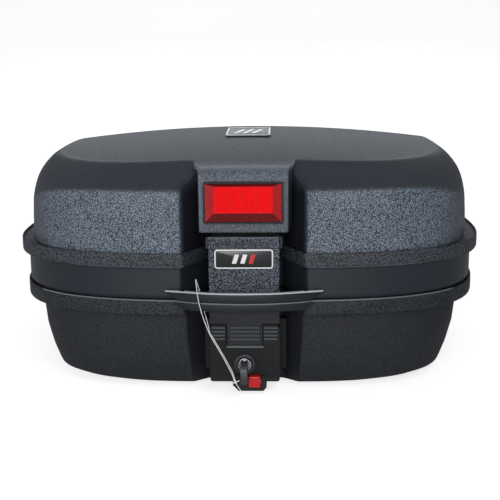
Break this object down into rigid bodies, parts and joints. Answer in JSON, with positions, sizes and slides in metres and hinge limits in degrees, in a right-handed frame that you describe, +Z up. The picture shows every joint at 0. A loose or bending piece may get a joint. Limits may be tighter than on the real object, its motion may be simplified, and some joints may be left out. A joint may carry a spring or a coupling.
{
  "type": "motorcycle top case",
  "caption": "Hinged motorcycle luggage case: base tub, domed lid, front latch flap with key lock, carry handle, red reflector and plate release button.",
  "frame": {"origin": "on the underside of the base, in the left-right symmetry plane, where the case stands on its mounting plate", "axes": "+X to the right seen from the latch side, +Y from the latch to the hinges (towards the rider), +Z up"},
  "size_m": [0.58, 0.4663, 0.2867],
  "materials": {
    "grained_shell": "moulded pebble grain",
    "smooth_band": "smooth satin",
    "black_fittings": "smooth satin",
    "rubber": "matt",
    "key_grip": "smooth",
    "zinc": "plated die casting",
    "steel": "plated",
    "button_red": "gloss",
    "lens_red": "ribbed reflector",
    "badge": "gloss",
    "nylon_cord": "smooth"
  },
  "bodies": {
    "base": {"base_shell": "grained_shell", "rim_seal": "rubber", "carry_handle": "black_fittings", "lock_housing": "black_fittings", "lock_backplate": "steel", "lock_bezel": "black_fittings", "lock_barrel": "zinc", "lock_nut": "zinc", "plate_hook_left": "steel", "plate_hook_right": "steel", "foot_pad_1": "rubber", "foot_pad_2": "rubber", "foot_pad_3": "rubber", "foot_pad_4": "rubber", "hinge_base_leaf_left": "black_fittings", "hinge_base_leaf_right": "black_fittings", "hinge_pin_left": "steel", "hinge_pin_right": "steel", "button_spring": "steel", "key_tag_cord": "nylon_cord", "lock_screw_1": "steel", "lock_screw_2": "steel", "lock_screw_3": "steel", "lock_screw_4": "steel", "hinge_screw_base_left_a": "steel", "hinge_screw_base_left_b": "steel", "handle_screw_left": "steel", "hinge_screw_base_right_a": "steel", "hinge_screw_base_right_b": "steel", "handle_screw_right": "steel"},
    "lid": {"lid_shell": "grained_shell", "lid_ring": "smooth_band", "hinge_lid_leaf_left": "black_fittings", "hinge_lid_leaf_right": "black_fittings", "reflector_tray": "black_fittings", "reflector_lens": "lens_red", "lid_badge": "badge", "flap_bracket": "black_fittings", "flap_pin": "steel", "flap_spring": "steel", "hinge_screw_lid_left_a": "steel", "hinge_screw_lid_left_b": "steel", "hinge_screw_lid_right_a": "steel", "hinge_screw_lid_right_b": "steel", "bracket_screw_left": "steel", "bracket_screw_right": "steel"},
    "flap": {"latch_flap": "grained_shell", "flap_badge": "badge", "striker": "steel"},
    "plug": {"lock_plug": "zinc", "lock_cam": "steel"},
    "key": {"key_blade": "zinc", "key_bow": "key_grip"},
    "bolt": {"lock_bolt": "steel"},
    "release": {"release_button": "button_red", "release_catch": "steel"}
  },
  "joints": [
    {"name": "lid_hinge", "type": "hinge", "parent": "base", "child": "lid", "pos_m": [0, 0.219, 0.1153], "axis": [-1, 0, 0], "range_deg": [0, 85]},
    {"name": "flap_hinge", "type": "hinge", "parent": "lid", "child": "flap", "pos_m": [0, -0.19, 0.1733], "axis": [-1, 0, 0], "range_deg": [0, 13], "stiffness_Nm_per_rad": 0.05},
    {"name": "key_turn", "type": "hinge", "parent": "base", "child": "plug", "pos_m": [0, -0.2, 0.0358], "axis": [0, -1, 0], "range_deg": [0, 90]},
    {"name": "key_withdraw", "type": "slide", "parent": "plug", "child": "key", "axis": [0, -1, 0], "range_m": [0, 0.03]},
    {"name": "bolt_slide", "type": "slide", "parent": "base", "child": "bolt", "axis": [-1, 0, 0], "range_m": [0, 0.0198]},
    {"name": "release_push", "type": "slide", "parent": "base", "child": "release", "axis": [0, 1, 0], "range_m": [0, 0.004], "stiffness_N_per_m": 400, "deforming": ["button_spring"]}
  ],
  "couplings": [
    {"joint": "key_turn", "follows": "bolt_slide", "rad_per_m": 79.33}
  ]
}
